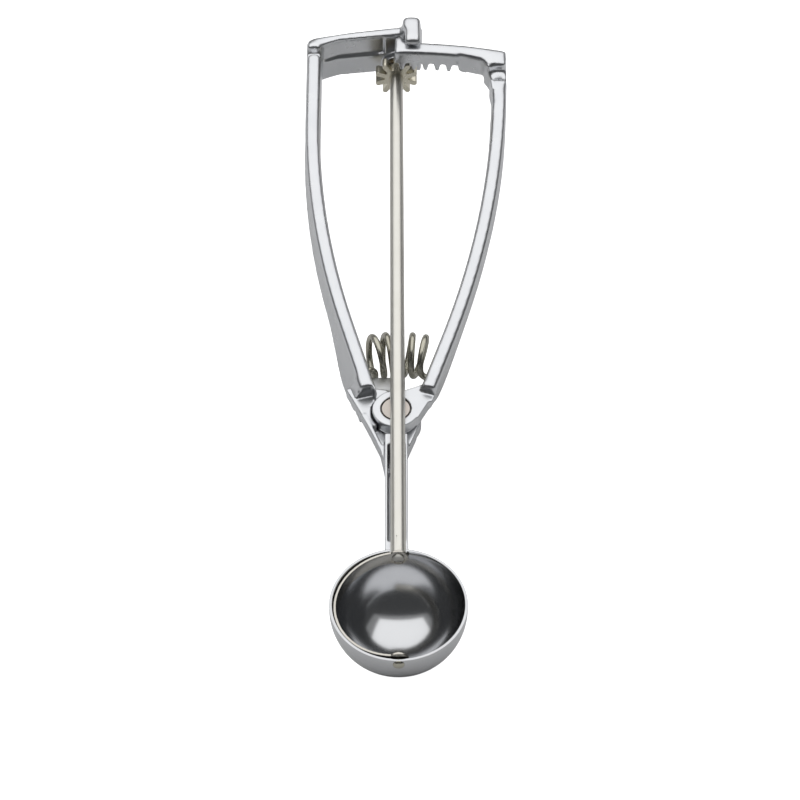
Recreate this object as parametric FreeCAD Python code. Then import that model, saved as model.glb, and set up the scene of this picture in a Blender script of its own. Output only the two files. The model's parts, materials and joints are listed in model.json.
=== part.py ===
"""Lever ice cream scoop: two cast handles, a rack that turns a rod, and a scraper in a bowl.

Frame: millimetres. The rod lies on the Y axis with the bowl at -Y and the handle tops at +Y,
the bowl opens to +Z, and the handles turn about an axis along Z at Y = 0.
"""
import FreeCAD
import Part
import math
import os

V = FreeCAD.Vector
doc = FreeCAD.newDocument("lever_scoop")
sheet = doc.addObject("Spreadsheet::Sheet", "Sizes")

SIZES = {
    "rod_radius": 2.05,
    "rod_bottom": -53.2,
    "rod_top": 146.6,
    "tenon_radius": 1.2,
    "tenon_length": 1.3,
    "pivot_offset": -0.5,
    "pin_radius": 2.5,
    "pin_running_gap": 0.05,
    "head_radius": 3.9,
    "head_recess_radius": 4.2,
    "head_height": 1.2,
    "right_lug_front": -2.5,
    "lug_thickness": 3.8,
    "washer_thickness": 0.4,
    "left_lug_thickness": 4.0,
    "lug_radius": 6.6,
    "strap_width": 4.5,
    "bead_fillet": 1.5,
    "notch_floor": 8.6,
    "skirt_top": -1.0,
    "skirt_slant": 0.15,
    "bar_front": 11.4,
    "bar_back": -3.9,
    "rack_front": 12.4,
    "rack_inner_radius": 131.8,
    "rack_outer_radius": 137.0,
    "rack_root_height": 7.4,
    "rack_tip_height": 4.8,
    "rack_pitch_radius": 133.0,
    "teeth": 10,
    "tooth_pitch": 3.63,
    "rack_teeth": 6,
    "pinion_bottom": 133.0,
    "pinion_thickness": 3.4,
    "pinion_tip_radius": 6.7,
    "pinion_hub_radius": 3.6,
    "finger_half_width": 0.85,
    "bowl_centre": -70.3,
    "bowl_radius": 18.0,
    "bowl_wall": 0.8,
    "rim_height": 1.6,
    "notch_radius": 2.25,
    "blade_gap": 0.3,
    "blade_thickness": 0.7,
    "blade_width": 4.0,
    "blade_rest_angle": 5.0,
    "blade_tab_radius": 2.7,
    "tail_rivet_radius": 0.75,
    "tail_head_radius": 1.5,
    "stem_left": -3.6,
    "stem_right": 2.7,
    "stem_front": -2.4,
    "stem_back": -8.4,
    "stem_wall": 0.9,
    "stem_floor": 1.8,
    "foot_thickness": 2.0,
    "foot_half_width": 4.2,
    "rivet_radius": 1.1,
    "rivet_head_radius": 1.9,
    "bush_radius": 3.1,
    "bush_flange_radius": 3.6,
    "bush_bottom": 137.0,
    "wire_diameter": 1.9,
    "coil_mean_radius": 5.8,
    "coil_centre_height": 26.0,
    "coil_centre_depth": -9.2,
    "fan_centre": 0.0,
    "fan_turn_angle": 7.4,
    "coil_turns": 5,
    "wire_sides": 8,
}

for row, (alias, number) in enumerate(SIZES.items(), start=1):
    sheet.set("A%d" % row, alias)
    sheet.set("B%d" % row, str(number))
    sheet.setAlias("B%d" % row, alias)
doc.recompute()


def size(alias):
    """Give one driving size from the sheet."""
    return float(sheet.get(alias))


def solid(label, shape):
    """Add a sub-part whose shape is worked out with Part's functions."""
    piece = doc.addObject("Part::Feature", label)
    piece.Label = label
    piece.Shape = shape
    return piece


def prism(points, low, high, axis="Z"):
    """Extrude a closed outline of points, or a ready wire, between two heights along one axis."""
    wire = points if isinstance(points, Part.Wire) else Part.makePolygon(
        [V(a, b, 0) for a, b in points] + [V(points[0][0], points[0][1], 0)])
    body = Part.Face(wire).extrude(V(0, 0, high - low))
    body.translate(V(0, 0, low))
    if axis == "X":
        body.rotate(V(), V(1, 1, 1), 120)
    return body


def cylinder(radius, low, high, centre, axis):
    """Make a cylinder between two places along one axis."""
    base = {"Z": V(centre[0], centre[1], low), "Y": V(centre[0], low, centre[1])}[axis]
    direction = {"Z": V(0, 0, 1), "Y": V(0, 1, 0)}[axis]
    return Part.makeCylinder(radius, high - low, base, direction)


def box(low, high):
    """Make a box from its lowest to its highest corner."""
    return Part.makeBox(high[0] - low[0], high[1] - low[1], high[2] - low[2], V(*low))


def arc_strap(side, top, straight_from, bend_radius, lean, bottom_y, width):
    """Outline of a strap: upright at the top, one long arc, then a straight lean to the pivot."""
    lean = math.radians(lean)
    bend_x = top[0] - side * bend_radius * (1 - math.cos(lean))
    bend_y = straight_from - bend_radius * math.sin(lean)
    run = bend_y - bottom_y
    middle = lean / 2
    half = width / 2

    def edge(offset):
        reach = bend_radius + side * offset
        centre_x = top[0] - side * bend_radius
        corner = V(top[0] + offset, top[1], 0)
        start = V(centre_x + side * reach, straight_from, 0)
        mid = V(centre_x + side * reach * math.cos(middle), straight_from - reach * math.sin(middle), 0)
        stop = V(centre_x + side * reach * math.cos(lean), straight_from - reach * math.sin(lean), 0)
        last = stop + V(-side * run * math.tan(lean), -run, 0)
        return corner, start, mid, stop, last

    inner = edge(-half)
    outer = edge(half)
    edges = [
        Part.makeLine(inner[0], inner[1]),
        Part.Arc(inner[1], inner[2], inner[3]).toShape(),
        Part.makeLine(inner[3], inner[4]),
        Part.makeLine(inner[4], outer[4]),
        Part.makeLine(outer[4], outer[3]),
        Part.Arc(outer[3], outer[2], outer[1]).toShape(),
        Part.makeLine(outer[1], outer[0]),
        Part.makeLine(outer[0], inner[0]),
    ]
    return Part.Wire(edges)


def side_profile(front, back):
    """Outline in depth of a casting, as a straight front edge and a curved back edge."""
    front_points = [V(y, z, 0) for y, z in front]
    back_curve = Part.BSplineCurve()
    back_curve.interpolate([V(y, z, 0) for y, z in back])
    edges = [Part.makeLine(a, b) for a, b in zip(front_points, front_points[1:])]
    edges.append(Part.makeLine(front_points[-1], V(back[0][0], back[0][1], 0)))
    edges.append(back_curve.toShape())
    edges.append(Part.makeLine(V(back[-1][0], back[-1][1], 0), front_points[0]))
    return Part.Wire(Part.__sortEdges__(edges))


def front_bead(shape, side, radius):
    """Round the two long front edges of a strap."""
    picked = []
    for edge in shape.Edges:
        box_of = edge.BoundBox
        if box_of.YLength < 15 or box_of.ZMin < 0.2:
            continue
        slope = box_of.ZLength / box_of.YLength
        if 0.05 < slope < 0.12:
            picked.append(edge)
    return shape.makeFillet(radius, picked)


PIVOT_X = size("pivot_offset")
RIGHT_FRONT = size("right_lug_front")
RIGHT_BACK = RIGHT_FRONT - size("lug_thickness")
LEFT_FRONT = RIGHT_BACK - size("washer_thickness")
LEFT_BACK = LEFT_FRONT - size("left_lug_thickness")
PITCH_ANGLE = math.degrees(size("tooth_pitch") / size("rack_pitch_radius"))
LEAN_LEFT = math.radians(15.5)
LEAN_RIGHT = math.radians(18.3)

# Left handle: strap, top bar, stop hook, lug, stem and foot in one casting
def casting_strap(wire, front, back):
    """Make a strap whose front part is upright and whose skirt slants to the left behind it."""
    top = size("skirt_top")
    upright = prism(wire, top, 20.0).common(prism(side_profile(front, [(150, top), (0, top)]), -60, 60, "X"))
    lower = Part.Face(wire)
    lower.translate(V(0, 0, top))
    lower = lower.extrude(V(-size("skirt_slant") * 20.0, 0, -20.0))
    return upright, lower.common(prism(side_profile([(0.0, top), (150.0, top)], back), -60, 60, "X"))


left_wire = arc_strap(-1, (-25.3, 137.0), 106.9, 290.0, 15.5, 2.0, size("strap_width"))
left_back = [(150.0, -3.9), (125.0, -4.0), (80.0, -5.0), (45.0, -6.3), (35.0, -7.2), (27.0, -10.2),
             (19.0, -13.2), (12.0, -12.8), (6.0, -11.0), (0.0, -10.7)]
left_strap, left_skirt = casting_strap(left_wire, [(0.0, 0.2), (150.0, 12.95)], left_back)
left_strap = front_bead(left_strap, -1, size("bead_fillet")).fuse(left_skirt)

bar_under = [(-27.6, 134.6), (-18.0, 138.9), (0.0, 141.2), (7.6, 141.2)]
bar_over = [(8.2, 145.0), (-0.5, 145.0), (-14.0, 142.9), (-25.9, 140.2), (-27.6, 138.8)]
left_bar = prism(bar_under + bar_over, size("bar_back"), size("bar_front"))
pocket_low = [(-22.6, 137.6), (-18.0, 139.8), (-3.6, 141.8), (-3.6, 139.0), (-22.6, 133.0)]
pocket = prism(pocket_low, 3.6, size("bar_front") - 1.6)
bearing_boss = cylinder(4.3, 138.2, 145.0, (0.0, 0.0), "Y").common(box((-5, 130, -3.9), (5, 150, 5)))

hook_top = box((1.9, 139.9, 7.0), (7.7, 145.0, 16.0))
hook_drop = box((2.6, 133.2, 12.7), (7.7, 145.0, 16.0))
hook = hook_top.fuse(hook_drop).removeSplitter()
hook = hook.makeFillet(1.4, [e for e in hook.Edges if e.BoundBox.ZMin > 15.9])

lug_outline = [(-14.2, 11.0), (-10.8, 4.7), (-7.7, -2.7), (-4.9, -9.9), (-3.6, -17.0), (-3.6, -21.0), (2.7, -21.0),
               (2.7, -12.0), (5.2, -5.0), (6.1, 0.0), (3.0, 6.0), (-3.0, 10.6), (-12.6, 12.0)]
left_lug = prism(lug_outline, LEFT_BACK, LEFT_FRONT)
left_lug = left_lug.fuse(cylinder(size("lug_radius") + 0.5, LEFT_BACK, LEFT_FRONT, (PIVOT_X, 0), "Z"))

skirt_outline = [(-14.6, 8.6), (-10.8, 0.6), (-7.7, -6.8), (-4.9, -14.0), (-3.6, -21.0), (-2.2, -21.0),
                 (-3.4, -14.6), (-6.2, -7.2), (-9.2, 0.4), (-12.4, 6.2), (-10.0, 9.0)]
skirt_side = side_profile([(-22.0, -3.2), (3.0, -4.0), (9.0, -4.0)],
                          [(9.0, -7.4), (0.0, -7.3), (-10.0, -7.3), (-22.0, -7.2)])
skirt = prism(skirt_outline, -20.0, 0.0).common(prism(skirt_side, -60.0, 60.0, "X"))

stem_end = -50.6
stem = box((size("stem_left"), stem_end, size("stem_back")), (size("stem_right"), -9.0, size("stem_front")))
channel = box((size("stem_left") + size("stem_wall"), stem_end + 4.0, size("stem_back") + size("stem_floor")),
              (size("stem_right") - size("stem_wall"), -13.0, 5.0))
stem = stem.cut(channel)
rod_way = cylinder(size("rod_radius") + 0.06, stem_end - 5.0, -8.0, (0, 0), "Y")
stem = stem.cut(rod_way)

foot_shell = Part.makeSphere(size("bowl_radius") + size("foot_thickness"), V(0, size("bowl_centre"), 0))
foot_block = box((-size("foot_half_width"), -66.0, -21.0), (size("foot_half_width"), stem_end + 1.5, -3.4))
foot = foot_shell.common(foot_block)
bowl_ball = Part.makeSphere(size("bowl_radius"), V(0, size("bowl_centre"), 0))

left = left_strap.fuse([left_bar.cut(pocket), bearing_boss, hook, left_lug, skirt, stem, foot])
left = left.cut(bowl_ball)
left = left.cut(box((-30.0, 132.6, size("notch_floor")), (-22.4, 135.2, 20.0)))
left = left.cut(cylinder(size("pin_radius"), -30, 5, (PIVOT_X, 0), "Z"))
left = left.cut(cylinder(size("bush_radius"), 130, 150, (0, 0), "Y"))

# Right handle: strap, rack bar with its teeth, end head and lug in one casting
right_wire = arc_strap(1, (31.5, 131.0), 128.0, 330.0, 18.3, 3.0, size("strap_width"))
right_back = [(150.0, -1.2), (128.0, -2.0), (110.0, -3.8), (80.0, -5.0), (45.0, -6.3), (35.0, -7.2),
              (27.0, -10.2), (19.0, -13.2), (12.0, -12.0), (6.0, -7.6), (0.0, -5.0)]
right_strap, right_skirt = casting_strap(right_wire, [(0.0, 0.2), (150.0, 12.95)], right_back)
right_strap = front_bead(right_strap, 1, size("bead_fillet")).fuse(right_skirt)


def ring_sector(inner, outer, start, stop, low, high):
    """Make a flat ring sector about the pivot, with its angles counted from +Y towards +X."""
    centre = V(PIVOT_X, 0, 0)

    def at(radius, angle):
        turn = math.radians(angle)
        return centre + V(radius * math.sin(turn), radius * math.cos(turn), 0)

    middle = (start + stop) / 2
    edges = [
        Part.Arc(at(inner, start), at(inner, middle), at(inner, stop)).toShape(),
        Part.makeLine(at(inner, stop), at(outer, stop)),
        Part.Arc(at(outer, stop), at(outer, middle), at(outer, start)).toShape(),
        Part.makeLine(at(outer, start), at(inner, start)),
    ]
    return prism(Part.Wire(edges), low, high)


R_IN = size("rack_inner_radius")
R_OUT = size("rack_outer_radius")
rack_bar = ring_sector(R_IN, R_OUT, 0.0, 14.6, size("rack_root_height"), size("rack_front"))


def rack_tooth(index):
    """Make one tooth of the rack, tapered to its tip, at its place on the sector."""
    half_root = 1.15
    half_tip = 0.5
    root = size("rack_root_height") + 0.2
    tip = size("rack_tip_height")
    outline = [V(-half_root, 0, root), V(half_root, 0, root), V(half_tip, 0, tip), V(-half_tip, 0, tip)]
    tooth = Part.Face(Part.makePolygon(outline + [outline[0]])).extrude(V(0, R_OUT - R_IN, 0))
    ends = [e for e in tooth.Edges if e.BoundBox.ZMax < tip + 0.1 and e.BoundBox.YLength > 1]
    tooth = tooth.makeFillet(0.4, ends)
    tooth.translate(V(PIVOT_X, R_IN, 0))
    rest = math.degrees(math.asin(-PIVOT_X / size("rack_pitch_radius")))
    tooth.rotate(V(PIVOT_X, 0, 0), V(0, 0, 1), -(rest + (index + 0.5) * PITCH_ANGLE))
    return tooth


teeth = [rack_tooth(i) for i in range(int(size("rack_teeth")))]
end_pad = ring_sector(R_IN, 139.6, 0.0, 1.25, size("rack_root_height"), size("rack_front"))
heel = prism([(19.9, 130.3), (33.7, 126.6), (33.7, 120.0), (29.2, 116.0), (28.2, 122.0), (25.4, 127.0)],
             2.0, size("rack_front") - 0.9)
heel_top = prism([(19.9, 130.2), (19.9, 135.6), (32.4, 133.0), (33.7, 131.4), (33.7, 122.0), (29.0, 122.0)],
                 4.6, size("rack_front"))

right_lug = prism([(-6.2, 3.5), (4.6, 7.8), (9.5, 10.0), (9.5, 4.0), (5.6, -3.5), (-0.5, -3.0)],
                  RIGHT_BACK, RIGHT_FRONT)
right_lug = right_lug.fuse(cylinder(size("lug_radius"), RIGHT_BACK, RIGHT_FRONT, (PIVOT_X, 0), "Z"))
right = right_strap.fuse([rack_bar, end_pad, heel, heel_top, right_lug] + teeth)
right = right.cut(box((28.6, 122.4, size("notch_floor")), (33.0, 126.4, 20.0)))
right = right.cut(cylinder(size("pin_radius") + size("pin_running_gap"), -30, 5, (PIVOT_X, 0), "Z"))
right = right.cut(cylinder(size("head_recess_radius"), RIGHT_FRONT - size("head_height"), 5, (PIVOT_X, 0), "Z"))

# The left lug and its skirt leave room behind and below the right lug, and the other way round
sweep_room = cylinder(size("lug_radius") + 0.3, LEFT_FRONT, 5, (PIVOT_X, 0), "Z")
left = left.cut(sweep_room)
left_room = cylinder(size("lug_radius") + 0.9, -30, LEFT_FRONT, (PIVOT_X, 0), "Z")
right = right.cut(left_room)
solid("left_handle", left.removeSplitter())
solid("right_handle", right)

# Pivot: headed pin, washer between the lugs and a riveted collar at the back
head = cylinder(size("head_radius"), RIGHT_FRONT - size("head_height") + 0.05, RIGHT_FRONT - 0.1, (PIVOT_X, 0), "Z")
shank = cylinder(size("pin_radius"), LEFT_BACK - 1.4, RIGHT_FRONT - 0.5, (PIVOT_X, 0), "Z")
solid("pivot_pin", head.fuse(shank).removeSplitter())
washer = cylinder(5.6, LEFT_FRONT, RIGHT_BACK, (PIVOT_X, 0), "Z")
solid("pivot_washer", washer.cut(cylinder(size("pin_radius") + 0.1, -30, 5, (PIVOT_X, 0), "Z")))
collar = cylinder(4.4, LEFT_BACK - 1.0, LEFT_BACK, (PIVOT_X, 0), "Z")
solid("pivot_collar", collar.cut(cylinder(size("pin_radius"), -30, 5, (PIVOT_X, 0), "Z")))

# Rod, with its tenon through the scraper and its top end in the bush
rod = cylinder(size("rod_radius"), size("rod_bottom"), size("rod_top"), (0, 0), "Y")
tenon = cylinder(size("tenon_radius"), size("rod_bottom") - size("tenon_length"), size("rod_bottom"), (0, 0), "Y")
peen = cylinder(size("tenon_radius") + 0.4, size("rod_bottom") - size("tenon_length") - 0.1,
                size("rod_bottom") - size("tenon_length") + 0.3, (0, 0), "Y")
pin_hole = Part.makeCylinder(0.7, 20, V(-10, size("pinion_bottom") + 1.7, 0), V(1, 0, 0))
solid("drive_rod", rod.fuse([tenon, peen]).removeSplitter().cut(pin_hole))

# Star pinion: hub disc and long rounded fingers
TIP = size("pinion_tip_radius")
HALF = size("finger_half_width")
low = size("pinion_bottom")
thick = size("pinion_thickness")
star = cylinder(size("pinion_hub_radius"), low, low + thick, (0, 0), "Y")
for index in range(int(size("teeth"))):
    finger = Part.makeBox(2 * HALF, thick, TIP - HALF, V(-HALF, low, 0))
    finger = finger.fuse(cylinder(HALF, low, low + thick, (0, TIP - HALF), "Y"))
    finger.rotate(V(), V(0, 1, 0), 360.0 * index / size("teeth"))
    star = star.fuse(finger)
star = star.cut(cylinder(size("rod_radius"), low - 1, low + thick + 1, (0, 0), "Y")).removeSplitter()
solid("drive_pinion", star.cut(pin_hole))
cross = Part.makeCylinder(0.7, 2 * size("pinion_hub_radius"), V(-size("pinion_hub_radius"), low + 1.7, 0), V(1, 0, 0))
solid("pinion_pin", cross)

bush = cylinder(size("bush_radius"), size("bush_bottom") + 1.0, 145.0, (0, 0), "Y")
bush = bush.fuse(cylinder(size("bush_flange_radius"), size("bush_bottom"), size("bush_bottom") + 1.2, (0, 0), "Y"))
bush = bush.cut(cylinder(size("rod_radius") + 0.05, 130, 150, (0, 0), "Y"))
solid("rod_bush", bush.removeSplitter())

# Bowl: hemispherical shell with a short straight rim, a notch for the rod and a rivet hole
CENTRE = V(0, size("bowl_centre"), 0)
OUTER = size("bowl_radius")
INNER = OUTER - size("bowl_wall")


def cup(radius, top):
    """Make a half ball with a short straight band above it."""
    half = Part.makeSphere(radius, CENTRE, V(0, 0, 1), -90, 0)
    return half.fuse(Part.makeCylinder(radius, top, CENTRE)).removeSplitter()


bowl = cup(OUTER, size("rim_height")).cut(cup(INNER, size("rim_height") + 5))
notch = cylinder(size("notch_radius"), size("bowl_centre") + 10, stem_end + 5, (0, 0), "Y")
notch = notch.fuse(box((-size("notch_radius"), size("bowl_centre") + 10, 0),
                       (size("notch_radius"), stem_end + 5, 5)))
bowl = bowl.cut(notch)
bowl = bowl.cut(cylinder(size("tail_rivet_radius"), size("bowl_centre") - 25, size("bowl_centre") - 10, (0, 0), "Y"))


def radial_rivet(tilt):
    """Make one flush rivet through the foot and the bowl wall, at an angle below the rod."""
    reach = OUTER + size("foot_thickness")
    shank_part = Part.makeCylinder(size("rivet_radius"), reach + 0.1 - INNER, V(0, 0, INNER))
    dome = Part.makeCylinder(size("rivet_head_radius"), 0.6, V(0, 0, reach - 0.1))
    rivet = shank_part.fuse(dome)
    rivet.rotate(V(), V(1, 0, 0), -(90 + tilt))
    rivet.translate(CENTRE)
    return rivet.cut(Part.makeSphere(INNER, CENTRE))


rivets = [radial_rivet(tilt) for tilt in (19.0, 36.0)]
for rivet in rivets:
    bowl = bowl.cut(rivet)
solid("bowl", bowl)
solid("bowl_rivets", Part.makeCompound(rivets))
handle = doc.getObject("left_handle")
trimmed = handle.Shape
for rivet in rivets:
    trimmed = trimmed.cut(rivet)
handle.Shape = trimmed

# Scraper: a band of a spherical shell with a round tab at each end
blade_out = INNER - size("blade_gap")
blade_in = blade_out - size("blade_thickness")
shell = Part.makeSphere(blade_out, CENTRE).cut(Part.makeSphere(blade_in, CENTRE))
band = Part.makeBox(20, 40, size("blade_width"), CENTRE + V(-20, -20, -size("blade_width") / 2))
tabs = cylinder(size("blade_tab_radius"), size("bowl_centre") - 25, size("bowl_centre") + 25, (0, 0), "Y")
blade = shell.common(band.fuse(tabs))
blade.rotate(CENTRE, V(0, 1, 0), -size("blade_rest_angle"))
blade = blade.cut(cylinder(size("tenon_radius"), size("bowl_centre"), -50, (0, 0), "Y"))
blade = blade.cut(cylinder(size("tail_rivet_radius") + 0.05, -95, size("bowl_centre"), (0, 0), "Y"))
solid("scraper_blade", blade)

tail_out = size("bowl_centre") - OUTER
tail = cylinder(size("tail_rivet_radius"), tail_out - 0.1, size("bowl_centre") - blade_in + 0.4, (0, 0), "Y")
tail = tail.fuse(cylinder(size("tail_head_radius"), tail_out - 0.7, tail_out, (0, 0), "Y"))
tail = tail.fuse(cylinder(1.3, size("bowl_centre") - blade_in + 0.1, size("bowl_centre") - blade_in + 0.6, (0, 0), "Y"))
solid("tail_rivet", tail.removeSplitter())

# Handle spring: a coil whose axis is an arc, so that its turns fan out from the pivot
FAN = V(0, size("fan_centre"), size("coil_centre_depth"))
REACH = size("coil_centre_height") - size("fan_centre")
WIRE = size("wire_diameter") / 2
TURNS = int(size("coil_turns"))


def coil_point(turn):
    """Place on the coil after a number of turns, counted from its middle."""
    fan = math.radians(turn * size("fan_turn_angle"))
    spin = 2 * math.pi * turn
    reach = REACH + size("coil_mean_radius") * math.cos(spin)
    return FAN + V(reach * math.sin(fan), reach * math.cos(fan), size("coil_mean_radius") * math.sin(spin))


def coil_tangent(turn):
    """Direction of the wire there."""
    step = 0.0005
    ahead = coil_point(turn + step) - coil_point(turn - step)
    return ahead.normalize()


def tangent_arc(start, direction, stop):
    """Arc from one point in a direction to another point."""
    chord = stop - start
    side = chord - direction * chord.dot(direction)
    if side.Length < 1e-7:
        return Part.makeLine(start, stop)
    side.normalize()
    radius = chord.dot(chord) / (2 * chord.dot(side))
    centre = start + side * radius
    middle = (start - centre) + (stop - centre)
    middle.normalize()
    return Part.Arc(start, centre + middle * radius, stop).toShape()


def biarc(start, leave, stop, arrive):
    """Two tangent arcs from one point and direction to another."""
    chord = stop - start
    total = leave + arrive
    spread = 2 * (1 - leave.dot(arrive))
    along = chord.dot(total)
    reach = (math.sqrt(along * along + spread * chord.dot(chord)) - along) / spread
    joint = (start + stop + (leave - arrive) * reach) * 0.5
    first = tangent_arc(start, leave, joint)
    second = tangent_arc(stop, arrive * -1, joint)
    return [first, second]


def end_leg(turn, square, face_distance):
    """Bend one end of the wire square to its strap and run it straight into its seat."""
    start = coil_point(turn)
    leave = coil_tangent(turn) * (1 if turn > 0 else -1)
    bend = 2 * WIRE
    corner = start + square * bend + leave * bend
    stop = corner + square * (face_distance - bend)
    return biarc(start, leave, corner, square) + [Part.makeLine(corner, stop)], corner, stop


half_turns = TURNS / 2.0
steps = TURNS * 4
places = [-half_turns + i / 4.0 for i in range(steps + 1)]
coil_edges = []
for first, second in zip(places, places[1:]):
    coil_edges += biarc(coil_point(first), coil_tangent(first), coil_point(second), coil_tangent(second))
square_left = V(-math.cos(LEAN_LEFT), -math.sin(LEAN_LEFT), 0)
square_right = V(math.cos(LEAN_RIGHT), -math.sin(LEAN_RIGHT), 0)
left_leg, left_corner, left_stop = end_leg(-half_turns, square_left, 6.4)
right_leg, right_corner, right_stop = end_leg(half_turns, square_right, 4.6)
wire_path = Part.Wire(Part.__sortEdges__(coil_edges + left_leg + right_leg))
across = square_left.cross(V(0, 0, 1))
SIDES = int(size("wire_sides"))
corners = []
for index in range(SIDES + 1):
    turn = 2 * math.pi * index / SIDES
    corners.append(left_stop + V(0, 0, WIRE * math.sin(turn)) + across * (WIRE * math.cos(turn)))
ring = Part.makePolygon(corners)
spring = wire_path.makePipeShell([ring], True, False)
solid("handle_spring", spring)
samples = wire_path.discretize(Number=TURNS * 60)
gap = min((a - b).Length for i, a in enumerate(samples) for b in samples[i + 20:]) - 2 * WIRE
print("least gap between turns of the spring: %.2f mm" % gap)
for name, corner, stop in (("left_handle", left_corner, left_stop), ("right_handle", right_corner, right_stop)):
    casting = doc.getObject(name)
    run = stop - corner
    seat = Part.makeCylinder(WIRE, run.Length, corner, run)
    casting.Shape = casting.Shape.cut(seat)

# The finished scoop is set with the middle of its box over the origin and its lowest point at Z = 0
doc.recompute()
pieces = [item for item in doc.Objects if item.TypeId != "Spreadsheet::Sheet"]
extent = Part.makeCompound([piece.Shape for piece in pieces]).optimalBoundingBox(False)
home = V(-extent.Center.x, -extent.Center.y, -extent.ZMin)
print("pivot and rod axes cross at %.3f %.3f %.3f" % (home.x, home.y, home.z))
for piece in pieces:
    piece.Placement = FreeCAD.Placement(home, FreeCAD.Rotation())
doc.recompute()

os.makedirs("parts", exist_ok=True)
for piece in pieces:
    if "Invalid" in piece.State or "Error" in piece.State:
        raise RuntimeError("%s failed: %s" % (piece.Label, piece.State))
    if piece.Shape.isNull() or not piece.Shape.isValid():
        raise RuntimeError("%s is not a valid shape" % piece.Label)
    piece.Shape.exportStep("parts/%s.step" % piece.Label)
    print("%s: %d solids, %.1f mm3" % (piece.Label, len(piece.Shape.Solids), piece.Shape.Volume))
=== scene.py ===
"""Lever ice cream scoop: the looks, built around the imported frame.

Lengths named in millimetres are turned to metres by MM. Places are counted from the point where
the rod's axis passes the axis of the handles, with the bowl at -Y and the handle tops at +Y.
"""
import json
import logging
import math
from dataclasses import dataclass
from enum import Enum
from typing import Dict, List, Optional, Sequence, Tuple

import bpy
from mathutils import Matrix, Vector


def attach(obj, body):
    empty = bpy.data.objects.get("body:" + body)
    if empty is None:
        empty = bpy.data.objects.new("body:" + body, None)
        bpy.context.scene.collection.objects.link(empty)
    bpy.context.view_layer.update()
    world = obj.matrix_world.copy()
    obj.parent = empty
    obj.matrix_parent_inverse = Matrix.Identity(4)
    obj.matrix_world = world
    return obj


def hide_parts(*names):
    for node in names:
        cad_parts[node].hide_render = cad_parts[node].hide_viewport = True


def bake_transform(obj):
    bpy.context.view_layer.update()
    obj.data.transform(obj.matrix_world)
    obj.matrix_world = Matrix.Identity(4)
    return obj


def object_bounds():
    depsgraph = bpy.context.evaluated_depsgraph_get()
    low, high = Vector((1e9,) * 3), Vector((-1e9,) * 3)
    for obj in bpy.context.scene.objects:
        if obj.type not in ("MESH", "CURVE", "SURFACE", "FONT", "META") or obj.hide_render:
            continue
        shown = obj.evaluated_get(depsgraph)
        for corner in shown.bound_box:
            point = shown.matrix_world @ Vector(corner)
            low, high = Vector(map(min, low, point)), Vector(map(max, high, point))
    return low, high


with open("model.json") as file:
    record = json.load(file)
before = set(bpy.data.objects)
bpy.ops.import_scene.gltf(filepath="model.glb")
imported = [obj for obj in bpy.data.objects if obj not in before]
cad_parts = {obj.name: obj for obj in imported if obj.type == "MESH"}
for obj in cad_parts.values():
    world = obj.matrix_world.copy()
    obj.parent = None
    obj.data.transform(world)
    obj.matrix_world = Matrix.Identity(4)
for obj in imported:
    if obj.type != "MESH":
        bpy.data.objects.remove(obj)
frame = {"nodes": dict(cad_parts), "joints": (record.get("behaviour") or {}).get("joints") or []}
cad_low, cad_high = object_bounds()

log = logging.getLogger("scoop")
MM = 0.001
Point = Tuple[float, float, float]
Corner = Tuple[float, float]

# Across the handles, along the rod towards the handle tops, and up from the table
ACROSS = Vector((1.0, 0.0, 0.0))
ALONG = Vector((0.0, 1.0, 0.0))
UP = Vector((0.0, 0.0, 1.0))

# Points of a mesh that lie closer than this are one point
MERGE_MM = 0.002
# The sockets of a Mix node that hold its two colours and the colour that comes out
MIX_FIRST = 6
MIX_SECOND = 7
MIX_RESULT = 2
# Nearly all values of a noise texture lie between these two
NOISE_LOW = 0.3
NOISE_HIGH = 0.7


class Body(Enum):
    """The bodies that move as one."""

    LEFT = "root"
    RIGHT = "right_lever"
    ROD = "rod_assembly"


class Slot(Enum):
    """The frame's material slots, one named with each plain part."""

    CASTING = "cast_aluminium"
    NICKEL = "nickel_plate"
    PINION = "pinion_nickel"
    STEEL = "stainless_steel"
    WIRE = "spring_wire"
    PIN = "pin_steel"
    BUSH = "bush_bronze"


def joint_place(name: str) -> Vector:
    """Find where a joint's axis runs.

    Args:
        name: the joint's name in the frame.

    Returns:
        A point on its axis, in metres.
    """
    for joint in frame["joints"]:
        if joint["name"] == name:
            return Vector(joint["pos_m"])
    raise KeyError(name)


PIVOT = joint_place("squeeze")
ROD_AXIS = joint_place("rod_spin")
CROSSING = Vector((ROD_AXIS.x, PIVOT.y, ROD_AXIS.z))


def at(x: float, y: float, z: float) -> Vector:
    """Give a place in metres from its millimetres off the crossing of the two axes."""
    return CROSSING + Vector((x, y, z)) * MM


def linear(code: str) -> Tuple[float, float, float, float]:
    """Turn an sRGB hex colour into linear light.

    Args:
        code: six hex digits.

    Returns:
        Red, green, blue and a full alpha.
    """
    values = [int(code[i:i + 2], 16) / 255.0 for i in (0, 2, 4)]
    bent = [v / 12.92 if v <= 0.04045 else ((v + 0.055) / 1.055) ** 2.4 for v in values]
    return (bent[0], bent[1], bent[2], 1.0)


def add_node(tree: bpy.types.NodeTree, kind: str, settings: Optional[dict] = None,
             inputs: Optional[dict] = None) -> bpy.types.Node:
    """Add one node with its settings, values and links.

    Args:
        tree: the tree that takes the node.
        kind: the node's type name.
        settings: attributes of the node, by name.
        inputs: what goes into each socket, by name or number: a value, or another node's socket.

    Returns:
        The new node.
    """
    node = tree.nodes.new(kind)
    for name, value in (settings or {}).items():
        setattr(node, name, value)
    for name, value in (inputs or {}).items():
        socket = node.inputs[name]
        if isinstance(value, bpy.types.NodeSocket):
            tree.links.new(value, socket)
        else:
            socket.default_value = value
    return node


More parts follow.
